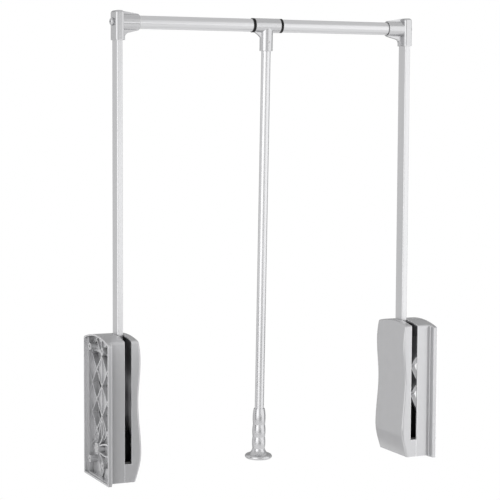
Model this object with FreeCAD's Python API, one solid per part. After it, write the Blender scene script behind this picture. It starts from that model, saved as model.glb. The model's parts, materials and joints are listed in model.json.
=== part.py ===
import FreeCAD, Part
import math
import os

Vector = FreeCAD.Vector

# Layout in millimetres: X from the left wall to the right wall, +Y to the back, +Z up.
# The origin is the middle of the left wall screws, on the wall face.
WALL_SPAN = 620.0
PIVOT_Z = -73.0
RAIL_Z = 639.0
SWING_DEG = 95.0

# Wall base: shell, lip and flange, each a step wider than the one before, with an arched top
SHELL_DEPTH = 102.0
SHELL_WALL = 2.5
LIP_STEP = 4.0
LIP_THICKNESS = 3.0
FLANGE_STEP = 8.0
FLANGE_THICKNESS = 7.0
FLANGE_RIM = 3.0
FLANGE_EDGE = 1.2
LIP_EDGE = 0.8
SEAM_EDGE = 0.5
BOTTOM_STEP = 1.0
BOTTOM_BELOW_PIVOT = 53.0
CREST_ABOVE_SCREWS = 23.0
ARCH_RISE = 10.0
TOP_CORNER_ROUND = 4.0
FLOOR_SETBACK = 2.5
FLOOR_THICKNESS = 2.0
RIB_HEIGHT = 2.0
RIB_THICKNESS = 2.4
LATTICE_PITCH = 51.0
LATTICE_CROSSING_Z = 32.0
LATTICE_ABOVE_PIVOT = 16.0
CELL_ROWS = (-1, 0, 1)
CELL_DEPTH = 9.0
CELL_FLOOR = 1.6
CELL_BOSS_GAP = 3.0
WINDOW_ROWS = (-1, 0)
WINDOW_BORDER = 2.4
SCREW_PITCH_Y = 64.0
SCREW_PITCH_Z = 192.0
SCREW_HOLE_R = 2.3
SCREW_BOSS_R = 6.0

# Clearances that several fits share
SEAT_GAP = 0.02
RUNNING_GAP = 0.05
SCREW_SLACK = 0.15
POCKET_SLACK = 0.5
TOUCH = 0.01

# Pivot: boss on the base, axle, clip, bushes and spring spigot
AXLE_R = 5.0
AXLE_HEAD_RISE = 2.0
AXLE_HEAD_THICKNESS = 2.0
HUB_FACE_X = 1.0
HUB_WALL = 2.0
PETAL_R = 34.0
PETAL_COUNT = 4
PETAL_TOP_X = 4.0
PETAL_SLOPE_R = 30.0
PETAL_REACH_R = 48.0
BUSH_WALL = 1.5
BOSS_WALL = 2.4
BOSS_END_GAP = 4.0
CLIP_RISE = 2.5
CLIP_THICKNESS = 0.9
CLIP_GROOVE = 0.8
CLIP_MOUTH = 6.0
CLIP_GAP = 0.05
CLIP_HUB_GAP = 0.8
SPIGOT_R = 19.0
SPIGOT_WALL = 2.4

# Torsion spring round the spigot
SPRING_WIRE_R = 1.6
SPRING_SLACK = 1.9
SPRING_TURN_GAP = 0.6
SPRING_QUARTERS = 13
SPRING_FLOOR_GAP = 1.4
SPRING_WEB_GAP = 2.55
SPRING_START_ANGLE = math.radians(-60.0)
SPRING_BEND_R = 4.5
SPRING_LEG = 3.2
SPRING_TIP_GAP = 1.3
SPRING_STOP_WIDTH = 6.0
SPRING_STOP_GAP = 0.1
SPRING_POST_GAP = 0.6

# Arm, and the black drum foot that carries it
ARM_WIDTH = 10.4
ARM_DEPTH = 25.0
ARM_WALL = 1.3
ARM_ROUND = 2.0
DRUM_WALL = 3.5
DRUM_FLOOR_GAP = 6.5
FOOT_NECK_RISE = 3.0
FOOT_HUB_WALL = 3.9
TONGUE_LENGTH = 57.0
TONGUE_GAP = 0.1
RIVET_R = 2.0
RIVET_RISES = (14.0, 42.0)

# Gear sector and damper pinion
MODULE = 1.25
DEDENDUM = 1.25
SECTOR_TEETH = 48
PINION_TEETH = 12
PRESSURE_ANGLE = math.radians(25.0)
FLANK_STEPS = 3
BACKLASH = 0.2
CENTRE_SLACK = 0.1
MESH_ANGLE = math.radians(45.0)
SECTOR_MARGIN_TEETH = 2
SECTOR_RIM = 6.4
TOOTH_ROOT_BITE = 0.4
GEAR_OFFSET = 1.6
GEAR_WIDTH = 5.5
GEAR_HUB_RISE = 0.9
DAMPER_R = 11.0
DAMPER_THICKNESS = 4.2
DAMPER_GAP = 2.3
DAMPER_EAR_THICKNESS = 2.2
DAMPER_EAR_R = 4.5
DAMPER_EAR_PITCH = 30.0
DAMPER_SHAFT_R = 2.0
DAMPER_SHAFT_LENGTH = 3.4
DAMPER_SCREW_R = 1.2
DAMPER_SCREW_HEAD_R = 2.8
DAMPER_SCREW_HEAD = 1.6
DAMPER_SCREW_LENGTH = 5.6
DAMPER_POST_R = 3.5

# Cover: how far its wavy face rises past the arm, at heights over the shell's bottom and under the crest
COVER_LOWER_WAVE = ((7.9, 0.0), (14.4, 21.0), (17.9, 38.0), (18.4, 58.0))
COVER_UPPER_WAVE = ((13.4, 107.0), (17.1, 33.0), (14.1, 9.0), (11.1, -3.0))
WAVE_EDGE_ROUND = 3.2
SLOT_GAP = 0.8
SLOT_BACK_GAP = 3.5
SLOT_BOTTOM_GAP = 2.8
COVER_HUB_GAP = 0.6
COVER_BUSH_LENGTH = 5.0
TAB_WIDTH = 10.0
TAB_THICKNESS = 2.0
TAB_REACH = 8.0
TAB_ROOT = 7.0
TAB_GAP = 0.25
NUB_HEIGHT = 0.8
NUB_LENGTH = 2.4
POCKET_DEPTH = 1.1

# Stop pads
PAD_GAP = 0.4
PAD_HEIGHT = 14.0
PAD_DROP = 6.0
LEDGE_DEPTH = 5.4
LEDGE_THICKNESS = 2.0
LOWER_PAD_HEIGHT = 7.8

# Rail
RAIL_R = 11.0
RAIL_WALL = 1.0
INNER_RAIL_GAP = 1.0
INNER_RAIL_WALL = 1.2
INNER_RAIL_END_GAP = 47.0
PLUG_LENGTH = 22.0
RING_RISE = 1.2
RING_WIDTH = 4.0
RING_SPIGOT = 18.0
RING_BORE_GAP = 0.2

# Corner connector between arm and rail
SLEEVE_GAP = 0.06
SLEEVE_WALL = 2.3
SLEEVE_ROUND = 4.0
SLEEVE_TOP_ROUND = 5.0
SLEEVE_ROOF = 5.0
SOCKET_WALL = 2.6
SOCKET_LENGTH = 29.2
SOCKET_EDGE = 1.0
SOCKET_MOUTH_GAP = 1.0
SOCKET_MOUTH_DEPTH = 3.0
SOCKET_FLOOR = 2.0
CREST_RISE = 5.1
WEB_THICKNESS = 8.0
GUSSET_FOOT = 4.5
GUSSET_DROP = 5.8
GUSSET_BEND = 6.2
GUSSET_LEG = 10.5
CORNER_SCREW_R = 2.2
CORNER_SCREW_HEAD_R = 6.0
CORNER_SCREW_HEAD = 6.0
CORNER_SCREW_BITE = 14.0
CROSS_WIDTH = 1.5
CROSS_REACH = 2.6
HEAD_RECESS = 0.8
HEAD_RECESS_SLACK = 1.4

# Tee between the rail tubes
TEE_LENGTH = 47.0
TEE_END_GAP = 0.3
TEE_WALL = 3.1
TEE_BORE_GAP = 0.1
TEE_EDGE = 0.6
TEE_RECESS = 2.4
SNAP_RING_RISE = 1.5
SNAP_RING_THICKNESS = 1.5
SNAP_RING_GROOVE = 0.4
SNAP_RING_GAP = 0.2
SNAP_RING_SLACK = 0.3
NECK_WALL = 3.2
NECK_LENGTH = 43.5
NECK_EDGE = 1.0
NECK_ROD_DEPTH = 27.5
NECK_WEB = 6.0
NECK_WEB_DROP = 9.3
NECK_WEB_SAG = 0.9
SET_SCREW_R = 2.0
SET_SCREW_RISE = 15.5
SET_SCREW_KEY_R = 1.0
SET_SCREW_SUNK = 0.5

# Pull rod, and a grip. Its lobes have a rise over the rod in the middle and at the lower end, and a length.
# The flare and the rim of its foot are given as a rise over the rod and the length of each stretch down.
ROD_R = 8.0
ROD_WALL = 1.2
ROD_LENGTH = 689.5
ROD_SEAT_GAP = 0.05
ROD_PLUG_LENGTH = 24.0
GRIP_TOP_RISE = 1.6
GRIP_LOBES = (
    (3.3, 2.6, 28.5),
    (3.7, 2.9, 22.0),
    (3.8, 2.9, 20.8),
)
GRIP_FLARE = ((4.2, 3.9), (8.4, 4.9), (13.2, 1.8))
GRIP_RIM = ((15.8, 3.0), (14.3, 3.7))
GRIP_ROD_DEPTH = 37.0
GRIP_WALL = 6.0
GRIP_FOOT_WALL = 2.8
CAP_LEDGE = 1.5
CAP_DOME = 3.0
CAP_RIM = 4.0
CAP_RIM_WALL = 2.0
CAP_GAP = 0.15
GRIP_SCREW_R = 2.0
GRIP_SCREW_HEAD_R = 4.0
GRIP_SCREW_HEAD = 2.4
GRIP_SCREW_LENGTH = 20.0
GRIP_SCREW_ROOM = 3.0
HANDLE_LEAN_DEG = 1.8

# Values that follow, across the depth and the height of a housing
MIDDLE_X = WALL_SPAN / 2
LIP_DEPTH = SHELL_DEPTH + 2 * LIP_STEP
FLANGE_DEPTH = LIP_DEPTH + 2 * FLANGE_STEP
INSIDE_DEPTH = SHELL_DEPTH - 2 * SHELL_WALL
CREST_Z = SCREW_PITCH_Z / 2 + CREST_ABOVE_SCREWS
BASE_BOTTOM_Z = PIVOT_Z - BOTTOM_BELOW_PIVOT
LIP_BOTTOM_Z = BASE_BOTTOM_Z + BOTTOM_STEP
SHELL_BOTTOM_Z = LIP_BOTTOM_Z + BOTTOM_STEP
INSIDE_BOTTOM_Z = SHELL_BOTTOM_Z + SHELL_WALL
LATTICE_BOTTOM_Z = PIVOT_Z + LATTICE_ABOVE_PIVOT
CELL_TOP_Z = SCREW_PITCH_Z / 2 - SCREW_BOSS_R - CELL_BOSS_GAP
CELL_HALF = LATTICE_PITCH / math.sqrt(8)
PAST_LEVEL = math.radians(SWING_DEG - 90.0)
ARM_UNDER = INSIDE_DEPTH / 2 * math.tan(PAST_LEVEL) + ARM_DEPTH / 2 / math.cos(PAST_LEVEL)
LOWER_PAD_TOP_Z = PIVOT_Z - ARM_UNDER - PAD_GAP
PAD_TOP_Z = CREST_Z - PAD_DROP
SLOT_BACK_Y = ARM_DEPTH / 2 + SLOT_BACK_GAP
SLOT_BOTTOM_Z = LOWER_PAD_TOP_Z - SLOT_BOTTOM_GAP

# Values that follow, round the pivot
AXLE_HEAD_R = AXLE_R + AXLE_HEAD_RISE
HUB_R = AXLE_HEAD_R + POCKET_SLACK + HUB_WALL
BUSH_R = AXLE_R + RUNNING_GAP + BUSH_WALL
AXLE_BOSS_R = BUSH_R + SEAT_GAP + BOSS_WALL
FOOT_HUB_R = BUSH_R + SEAT_GAP + FOOT_HUB_WALL
CLIP_R = AXLE_R + CLIP_RISE
SPRING_MEAN_R = SPIGOT_R + SPRING_SLACK + SPRING_WIRE_R
SPRING_PITCH = 2 * SPRING_WIRE_R + SPRING_TURN_GAP
SPRING_STOP_INNER_R = SPRING_MEAN_R + SPRING_BEND_R
DRUM_INNER_R = SPRING_STOP_INNER_R + SPRING_LEG + SPRING_TIP_GAP
DRUM_R = DRUM_INNER_R + DRUM_WALL
SPRING_POST_R = DRUM_INNER_R - SPRING_POST_GAP
FOOT_NECK = DRUM_R + FOOT_NECK_RISE
TONGUE_ROUND = ARM_ROUND - ARM_WALL - TONGUE_GAP
SECTOR_R = MODULE * SECTOR_TEETH / 2
PINION_R = MODULE * PINION_TEETH / 2
MESH_DISTANCE = SECTOR_R + PINION_R + CENTRE_SLACK
DAMPER_Y = MESH_DISTANCE * math.cos(MESH_ANGLE)
DAMPER_Z = PIVOT_Z + MESH_DISTANCE * math.sin(MESH_ANGLE)

# Values that follow, from the wall inwards
FLOOR_X = FLANGE_THICKNESS + LIP_THICKNESS + FLOOR_SETBACK
FLOOR_INNER_X = FLOOR_X + FLOOR_THICKNESS
RIB_TOP_X = FLOOR_X - RIB_HEIGHT
CELL_FLOOR_X = RIB_TOP_X + CELL_DEPTH
CELL_END_X = CELL_FLOOR_X + CELL_FLOOR
DRUM_START_X = FLOOR_INNER_X + DRUM_FLOOR_GAP
SPRING_START_X = FLOOR_INNER_X + SPRING_FLOOR_GAP + SPRING_WIRE_R
SPRING_END_X = SPRING_START_X + SPRING_PITCH * SPRING_QUARTERS / 4
ARM_START_X = SPRING_END_X + SPRING_WIRE_R + SPRING_WEB_GAP
ARM_X = ARM_START_X + ARM_WIDTH / 2
ARM_END_X = ARM_START_X + ARM_WIDTH
SLOT_START_X = ARM_START_X - SLOT_GAP
SLOT_END_X = ARM_END_X + SLOT_GAP
AXLE_BOSS_END_X = ARM_START_X - BOSS_END_GAP
FOOT_HUB_START_X = AXLE_BOSS_END_X + CLIP_THICKNESS + CLIP_HUB_GAP
GEAR_START_X = ARM_END_X + GEAR_OFFSET
GEAR_END_X = GEAR_START_X + GEAR_WIDTH
FOOT_HUB_END_X = GEAR_END_X + GEAR_HUB_RISE
COVER_BOSS_X = FOOT_HUB_END_X + COVER_HUB_GAP
AXLE_END_X = COVER_BOSS_X + COVER_BUSH_LENGTH
DAMPER_START_X = GEAR_END_X + DAMPER_GAP
DAMPER_END_X = DAMPER_START_X + DAMPER_THICKNESS
COVER_WAVE = [(ARM_END_X + rise, SHELL_BOTTOM_Z + over) for rise, over in COVER_LOWER_WAVE]
COVER_WAVE += [(ARM_END_X + rise, CREST_Z - under) for rise, under in COVER_UPPER_WAVE]

# Values that follow, along the rail and down the handle
SOCKET_R = RAIL_R + SLEEVE_GAP + SOCKET_WALL
SLEEVE_WIDTH = ARM_WIDTH + 2 * (SLEEVE_GAP + SLEEVE_WALL)
SLEEVE_DEPTH = ARM_DEPTH + 2 * (SLEEVE_GAP + SLEEVE_WALL)
SLEEVE_ABOVE = SOCKET_R + CREST_RISE
SLEEVE_BELOW = SOCKET_R + GUSSET_DROP + GUSSET_LEG
SLEEVE_START_X = ARM_X - SLEEVE_WIDTH / 2
SLEEVE_END_X = ARM_X + SLEEVE_WIDTH / 2
SOCKET_END_X = SLEEVE_END_X + SOCKET_LENGTH
HEAD_SEAT_X = SLEEVE_START_X + HEAD_RECESS
RAIL_START_X = SLEEVE_END_X + SOCKET_FLOOR
TEE_START_X = MIDDLE_X - TEE_LENGTH / 2
RAIL_END_X = TEE_START_X - TEE_END_GAP - RING_WIDTH
RING_R = RAIL_R + RING_RISE
INNER_RAIL_R = RAIL_R - RAIL_WALL - INNER_RAIL_GAP
INNER_RAIL_HALF = MIDDLE_X - RAIL_START_X - PLUG_LENGTH - INNER_RAIL_END_GAP
TEE_R = INNER_RAIL_R + TEE_BORE_GAP + TEE_WALL
SNAP_RING_R = INNER_RAIL_R + SNAP_RING_RISE
TEE_RECESS_R = SNAP_RING_R + SNAP_RING_SLACK
NECK_R = ROD_R + ROD_SEAT_GAP + NECK_WALL
GRIP_TOP_DROP = NECK_LENGTH - NECK_ROD_DEPTH + ROD_LENGTH - GRIP_ROD_DEPTH
GRIP_WAIST_DROP = sum(length for middle, end, length in GRIP_LOBES)
GRIP_LENGTH = GRIP_WAIST_DROP + sum(stretch for rise, stretch in GRIP_FLARE + GRIP_RIM)
GRIP_HOLLOW_R = GRIP_SCREW_HEAD_R + GRIP_SCREW_ROOM
GRIP_HOLLOW_MOUTH_R = ROD_R + GRIP_RIM[-1][0] - GRIP_FOOT_WALL
CAP_R = GRIP_HOLLOW_MOUTH_R + CAP_LEDGE
X_AXIS = Vector(1, 0, 0)
Y_AXIS = Vector(0, 1, 0)
Z_AXIS = Vector(0, 0, 1)


def block(x0, x1, y0, y1, z0, z1):
    """A box between three pairs of limits."""
    return Part.makeBox(x1 - x0, y1 - y0, z1 - z0, Vector(x0, y0, z0))


def rod_x(radius, x0, x1, y=0.0, z=PIVOT_Z):
    """A round bar along X, on the pivot unless placed elsewhere."""
    return Part.makeCylinder(radius, x1 - x0, Vector(x0, y, z), X_AXIS)


def tube_x(outer, inner, x0, x1, y=0.0, z=PIVOT_Z):
    """A round tube along X."""
    return rod_x(outer, x0, x1, y, z).cut(rod_x(inner, x0, x1, y, z))


def rod_z(radius, z0, z1, x=MIDDLE_X):
    """A round bar along Z at mid depth."""
    return Part.makeCylinder(radius, z1 - z0, Vector(x, 0, z0), Z_AXIS)


def joined(shapes):
    """One solid from overlapping shapes."""
    return shapes[0].multiFuse(shapes[1:]).removeSplitter()


def prism(edges, direction):
    """The solid swept by a flat closed outline."""
    return Part.Face(Part.Wire(Part.__sortEdges__(edges))).extrude(direction)


def rounded_bar(width, depth, radius, z0, z1, x=ARM_X):
    """An upright bar with a rounded rectangular section."""
    bar = block(x - width / 2, x + width / 2, -depth / 2, depth / 2, z0, z1)
    upright = [e for e in bar.Edges if e.BoundBox.XLength < TOUCH and e.BoundBox.YLength < TOUCH]
    return bar.makeFillet(radius, upright)


def polar(x, radius, angle):
    """A point round the X axis, with the angle from +Y towards +Z."""
    return Vector(x, radius * math.cos(angle), radius * math.sin(angle))


def arch_z(y):
    """Height of the arched top at a depth."""
    half = FLANGE_DEPTH / 2
    radius = (half**2 + ARCH_RISE**2) / (2 * ARCH_RISE)
    return CREST_Z - radius + math.sqrt(radius**2 - y**2)


def arched_block(depth, bottom, inset, x0, x1):
    """A block with the arched top of the housing, lowered by an inset."""
    half = depth / 2
    corner = arch_z(half) - inset
    low_front = Vector(x0, -half, bottom)
    low_back = Vector(x0, half, bottom)
    high_back = Vector(x0, half, corner)
    high_front = Vector(x0, -half, corner)
    crest = Vector(x0, 0, CREST_Z - inset)
    edges = [
        Part.makeLine(low_front, low_back),
        Part.makeLine(low_back, high_back),
        Part.Arc(high_back, crest, high_front).toShape(),
        Part.makeLine(high_front, low_front),
    ]
    return prism(edges, Vector(x1 - x0, 0, 0))


def rounded_arched_block(depth, bottom, x0, x1):
    """An arched block whose front and back top corners are rounded."""
    body = arched_block(depth, bottom, 0.0, x0, x1)
    corner = arch_z(depth / 2)
    edges = [e for e in body.Edges if all(abs(v.Z - corner) < TOUCH for v in e.Vertexes)]
    along = [e for e in edges if e.BoundBox.YLength < TOUCH]
    return body.makeFillet(TOP_CORNER_ROUND, along)


def end_edges(shape, limit, position):
    """The edges that lie wholly at one position, within a small limit."""
    return [e for e in shape.Edges if all(abs(position(v.Point) - limit) < TOUCH for v in e.Vertexes)]


def base_step(depth, bottom, end, edge):
    """One step of the base, from the wall to where it ends, with the edge there rounded."""
    body = rounded_arched_block(depth, bottom, 0.0, end)
    return body.makeFillet(edge, end_edges(body, end, lambda p: p.x))


def screw_places():
    """Depth and height of each wall screw."""
    sides = (-0.5, 0.5)
    return [(i * SCREW_PITCH_Y, j * SCREW_PITCH_Z) for i in sides for j in sides]


def lattice():
    """Crossed ribs and a middle rib on the floor of the base."""
    reach = CREST_Z - BASE_BOTTOM_Z
    half = RIB_THICKNESS / 2
    ribs = [block(RIB_TOP_X, FLOOR_INNER_X, -half, half, LATTICE_BOTTOM_Z, CREST_Z)]
    steps = math.ceil(reach / LATTICE_PITCH)
    for step in range(-steps, steps):
        for turn in (-45, 45):
            rib = block(RIB_TOP_X, FLOOR_INNER_X, -reach, reach, -half, half)
            rib.rotate(Vector(0, 0, 0), X_AXIS, turn)
            rib.translate(Vector(0, 0, LATTICE_CROSSING_Z + step * LATTICE_PITCH))
            ribs.append(rib)
    limit = arched_block(INSIDE_DEPTH, LATTICE_BOTTOM_Z, SHELL_WALL, RIB_TOP_X, FLOOR_INNER_X)
    return joined(ribs).common(limit)


def diamonds(half, rows, x0, x1, top):
    """Square bars along X that stand on a corner, in the cells beside the middle rib, under a top level."""
    bars = []
    for row in rows:
        for side in (-0.5, 0.5):
            bar = block(x0, x1, -half, half, -half, half)
            bar.rotate(Vector(0, 0, 0), X_AXIS, 45)
            bar.translate(Vector(0, side * LATTICE_PITCH, LATTICE_CROSSING_Z + row * LATTICE_PITCH))
            bars.append(bar)
    wall = INSIDE_DEPTH / 2
    return Part.makeCompound(bars).common(block(x0, x1, -wall, wall, LATTICE_BOTTOM_Z, top))


def cell_trays():
    """The walls and floors of the deep cells."""
    half = CELL_HALF + RIB_THICKNESS / 2
    return diamonds(half, CELL_ROWS, FLOOR_X, CELL_END_X, CELL_TOP_Z + RIB_THICKNESS).Solids


def cell_hollows():
    """The room in the deep cells, with a window through the floor of some."""
    half = CELL_HALF - RIB_THICKNESS / 2
    rooms = diamonds(half, CELL_ROWS, FLOOR_X, CELL_FLOOR_X, CELL_TOP_Z)
    openings = diamonds(half - WINDOW_BORDER, WINDOW_ROWS, CELL_FLOOR_X, CELL_END_X, CELL_TOP_Z)
    return rooms, openings


def petals():
    """Curved ribs that run out from the pivot boss and rise towards it."""
    rings = []
    for step in range(PETAL_COUNT):
        angle = 2 * math.pi * (step + 0.5) / PETAL_COUNT
        place = polar(0, PETAL_R, angle)
        outer = PETAL_R + RIB_THICKNESS / 2
        inner = PETAL_R - RIB_THICKNESS / 2
        rings.append(tube_x(outer, inner, PETAL_TOP_X, FLOOR_X, place.y, PIVOT_Z + place.z))
    start = Vector(PETAL_TOP_X, 0, PIVOT_Z)
    slope = Part.makeCone(HUB_R, PETAL_SLOPE_R, RIB_TOP_X - PETAL_TOP_X, start, X_AXIS)
    reach = joined([slope, rod_x(PETAL_REACH_R, RIB_TOP_X, FLOOR_X)])
    inside = arched_block(INSIDE_DEPTH, INSIDE_BOTTOM_Z, SHELL_WALL, PETAL_TOP_X, FLOOR_X)
    return joined(rings).common(reach).common(inside)


def spring_frame(angle, x):
    """A placement that turns +Y to the angle about the pivot."""
    turn = FreeCAD.Rotation(X_AXIS, math.degrees(angle))
    return FreeCAD.Placement(Vector(x, 0, PIVOT_Z), turn)


def spring_post():
    """The post on the base that the spring's fixed leg presses on."""
    near = SPRING_STOP_GAP + SPRING_WIRE_R - SPRING_BEND_R
    far = near + SPRING_STOP_WIDTH
    top = SPRING_START_X + SPRING_WIRE_R - FLOOR_INNER_X
    post = block(0, top, SPRING_STOP_INNER_R, SPRING_POST_R, near, far)
    post.Placement = spring_frame(SPRING_START_ANGLE, FLOOR_INNER_X)
    return post


def spring_lug():
    """The lug inside the drum that the spring's moving leg presses on."""
    far = SPRING_BEND_R - SPRING_WIRE_R - SPRING_STOP_GAP
    near = far - SPRING_STOP_WIDTH
    start = SPRING_END_X - SPRING_WIRE_R
    lug = block(0, ARM_START_X - start, SPRING_STOP_INNER_R, DRUM_R - DRUM_WALL / 2, near, far)
    lug.Placement = spring_frame(spring_end_angle(), start)
    return lug


def tab_places():
    """Placements of the cover's tabs: depth, height, and the way each faces out, as a turn about X."""
    wall = INSIDE_DEPTH / 2
    bottom = SHELL_BOTTOM_Z + SHELL_WALL
    return (
        (wall, PIVOT_Z / 2, 0.0),
        (wall, CREST_Z / 2, 0.0),
        (-wall, (SLOT_BOTTOM_Z + bottom) / 2, 180.0),
        (0.0, bottom, -90.0),
    )


def at_tab(shape, place):
    """Moves a shape drawn against a wall at Y = 0 to one of the tab places."""
    y, z, turn = place
    shape.Placement = FreeCAD.Placement(Vector(0, y, z), FreeCAD.Rotation(X_AXIS, turn))
    return shape


def tab_pocket(place):
    """The shallow pocket in the base that takes a tab's nub."""
    half = TAB_WIDTH / 2 + POCKET_SLACK
    start = SLOT_START_X - TAB_REACH - POCKET_SLACK
    end = start + NUB_LENGTH + 2 * POCKET_SLACK
    return at_tab(block(start, end, -POCKET_SLACK, POCKET_DEPTH, -half, half), place)


def tab(place):
    """A tab on the cover, with a nub that snaps into the base."""
    half = TAB_WIDTH / 2
    start = SLOT_START_X - TAB_REACH
    end = SLOT_START_X + TAB_ROOT
    inner = -TAB_GAP - TAB_THICKNESS
    arm = block(start, end, inner, -TAB_GAP, -half, half)
    nub = block(start, start + NUB_LENGTH, inner, NUB_HEIGHT, -half, half)
    root = block(SLOT_START_X + POCKET_SLACK, end, inner, SHELL_WALL / 2, -half, half)
    return at_tab(joined([arm, nub, root]), place)


def base_blank():
    """The outside of the base: flange, lip and shell, which share one arched top."""
    return joined([
        base_step(FLANGE_DEPTH, BASE_BOTTOM_Z, FLANGE_THICKNESS, FLANGE_EDGE),
        base_step(LIP_DEPTH, LIP_BOTTOM_Z, FLANGE_THICKNESS + LIP_THICKNESS, LIP_EDGE),
        base_step(SHELL_DEPTH, SHELL_BOTTOM_Z, SLOT_START_X, SEAM_EDGE),
    ])


def wall_base():
    """The part that is screwed to the wall: rim, ribbed floor, bosses and spring spigot."""
    mouth_depth = FLANGE_DEPTH - 2 * FLANGE_RIM
    mouth_bottom = BASE_BOTTOM_Z + FLANGE_RIM
    mouth = arched_block(mouth_depth, mouth_bottom, FLANGE_RIM, 0.0, FLANGE_THICKNESS - SHELL_WALL)
    well = arched_block(INSIDE_DEPTH, INSIDE_BOTTOM_Z, SHELL_WALL, 0.0, FLOOR_X)
    cavity = arched_block(INSIDE_DEPTH, INSIDE_BOTTOM_Z, SHELL_WALL, FLOOR_INNER_X, SLOT_START_X)
    body = base_blank().cut(mouth).cut(well).cut(cavity)
    bosses = [rod_x(SCREW_BOSS_R, 0.0, FLOOR_INNER_X, y, z) for y, z in screw_places()]
    hub = rod_x(HUB_R, HUB_FACE_X, FLOOR_INNER_X)
    axle_boss = rod_x(AXLE_BOSS_R, FLOOR_X, AXLE_BOSS_END_X)
    spigot = tube_x(SPIGOT_R, SPIGOT_R - SPIGOT_WALL, FLOOR_X, AXLE_BOSS_END_X)
    body = joined([body, lattice(), petals(), hub, axle_boss, spigot, spring_post()] + bosses + cell_trays())
    for hollow in cell_hollows():
        body = body.cut(hollow)
    for y, z in screw_places():
        body = body.cut(rod_x(SCREW_HOLE_R, 0.0, FLOOR_INNER_X, y, z))
    for place in tab_places():
        body = body.cut(tab_pocket(place))
    head_seat = HUB_FACE_X + AXLE_HEAD_THICKNESS
    body = body.cut(rod_x(AXLE_HEAD_R + POCKET_SLACK, 0.0, head_seat))
    return body.cut(rod_x(AXLE_R + SEAT_GAP, 0.0, AXLE_BOSS_END_X))


def wavy_block(depth, inset):
    """A block from the parting plane to the wavy face, moved in by an inset."""
    front = -depth / 2
    points = [Vector(x - inset, front, z) for x, z in COVER_WAVE]
    curve = Part.BSplineCurve()
    curve.interpolate(points)
    low = Vector(SLOT_START_X, front, points[0].z)
    high = Vector(SLOT_START_X, front, points[-1].z)
    edges = [
        curve.toShape(),
        Part.makeLine(points[-1], high),
        Part.makeLine(high, low),
        Part.makeLine(low, points[0]),
    ]
    return prism(edges, Vector(0, depth, 0))


def wavy_edges(shape):
    """The edges round the wavy face of the cover, without its bottom edge."""
    faces = [f for f in shape.Faces if f.Surface.TypeId == "Part::GeomSurfaceOfExtrusion"]
    wave = max(faces, key=lambda f: f.Area)
    return [e for e in wave.Edges if e.BoundBox.ZMax > SHELL_BOTTOM_Z + SHELL_WALL]


def cover_shell():
    """The hollow cover with its arm slot."""
    limit_x = ARM_END_X + SHELL_DEPTH
    outside = rounded_arched_block(SHELL_DEPTH, SHELL_BOTTOM_Z, SLOT_START_X, limit_x)
    outer = wavy_block(SHELL_DEPTH, 0.0).common(outside)
    outer = outer.makeFillet(WAVE_EDGE_ROUND, wavy_edges(outer))
    inside_bottom = SHELL_BOTTOM_Z + SHELL_WALL
    inside = arched_block(INSIDE_DEPTH, inside_bottom, SHELL_WALL, SLOT_START_X, limit_x)
    inner = wavy_block(INSIDE_DEPTH, SHELL_WALL).common(inside)
    slot = block(SLOT_START_X, SLOT_END_X, -SHELL_DEPTH, SLOT_BACK_Y, SLOT_BOTTOM_Z, CREST_Z + SHELL_WALL)
    return outer.cut(inner).cut(slot)


def cover():
    """The cover with its axle boss, damper posts, tabs and the supports of the stop pads."""
    limit_x = ARM_END_X + SHELL_DEPTH
    boss = rod_x(AXLE_BOSS_R, COVER_BOSS_X, limit_x)
    post_start = DAMPER_START_X + DAMPER_EAR_THICKNESS
    posts = [rod_x(DAMPER_POST_R, post_start, limit_x, DAMPER_Y, z) for z in damper_ear_heights()]
    pad_back = SLOT_BACK_Y + SHELL_WALL
    pad_wall_top = arch_z(pad_back) - SHELL_WALL / 2
    pad_bottom = PAD_TOP_Z - PAD_HEIGHT
    pad_wall = block(SLOT_START_X, SLOT_END_X, SLOT_BACK_Y, pad_back, pad_bottom, pad_wall_top)
    ledge_top = LOWER_PAD_TOP_Z - LOWER_PAD_HEIGHT
    front = -SHELL_DEPTH / 2 + SHELL_WALL / 2
    ledge_back = -INSIDE_DEPTH / 2 + LEDGE_DEPTH
    ledge_bottom = ledge_top - LEDGE_THICKNESS
    ledge = block(SLOT_START_X, SLOT_END_X, front, ledge_back, ledge_bottom, ledge_top)
    tabs = [tab(place) for place in tab_places()]
    inside = wavy_block(SHELL_DEPTH, SHELL_WALL / 2)
    stems = [stem.common(inside) for stem in [boss] + posts]
    body = joined([cover_shell(), pad_wall, ledge] + stems + tabs)
    body = body.cut(rod_x(BUSH_R + SEAT_GAP, COVER_BOSS_X, AXLE_END_X + SEAT_GAP))
    for z in damper_ear_heights():
        pilot_end = DAMPER_START_X + DAMPER_SCREW_LENGTH
        body = body.cut(rod_x(DAMPER_SCREW_R + SEAT_GAP, post_start, pilot_end, DAMPER_Y, z))
    return body


def axle():
    """The headed axle, with a groove for its clip."""
    head_end = HUB_FACE_X + AXLE_HEAD_THICKNESS
    head = rod_x(AXLE_HEAD_R, HUB_FACE_X, head_end)
    body = joined([head, rod_x(AXLE_R, head_end, AXLE_END_X)])
    groove_end = AXLE_BOSS_END_X + CLIP_THICKNESS
    return body.cut(tube_x(CLIP_R, AXLE_R - CLIP_GROOVE, AXLE_BOSS_END_X, groove_end))


def axle_clip():
    """The open spring clip in the axle's groove."""
    inner = AXLE_R - CLIP_GROOVE + CLIP_GAP
    start = AXLE_BOSS_END_X + SEAT_GAP
    end = AXLE_BOSS_END_X + CLIP_THICKNESS - SEAT_GAP
    half = CLIP_MOUTH / 2
    mouth = block(start, end, -half, half, PIVOT_Z, PIVOT_Z + CLIP_R)
    return tube_x(CLIP_R, inner, start, end).cut(mouth)


def cover_bush():
    """The bush between the axle's end and the cover."""
    return tube_x(BUSH_R, AXLE_R + SEAT_GAP, COVER_BOSS_X, AXLE_END_X)


def foot_bush():
    """The bush in the foot, which turns on the axle."""
    return tube_x(BUSH_R, AXLE_R + RUNNING_GAP, FOOT_HUB_START_X, FOOT_HUB_END_X)


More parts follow.
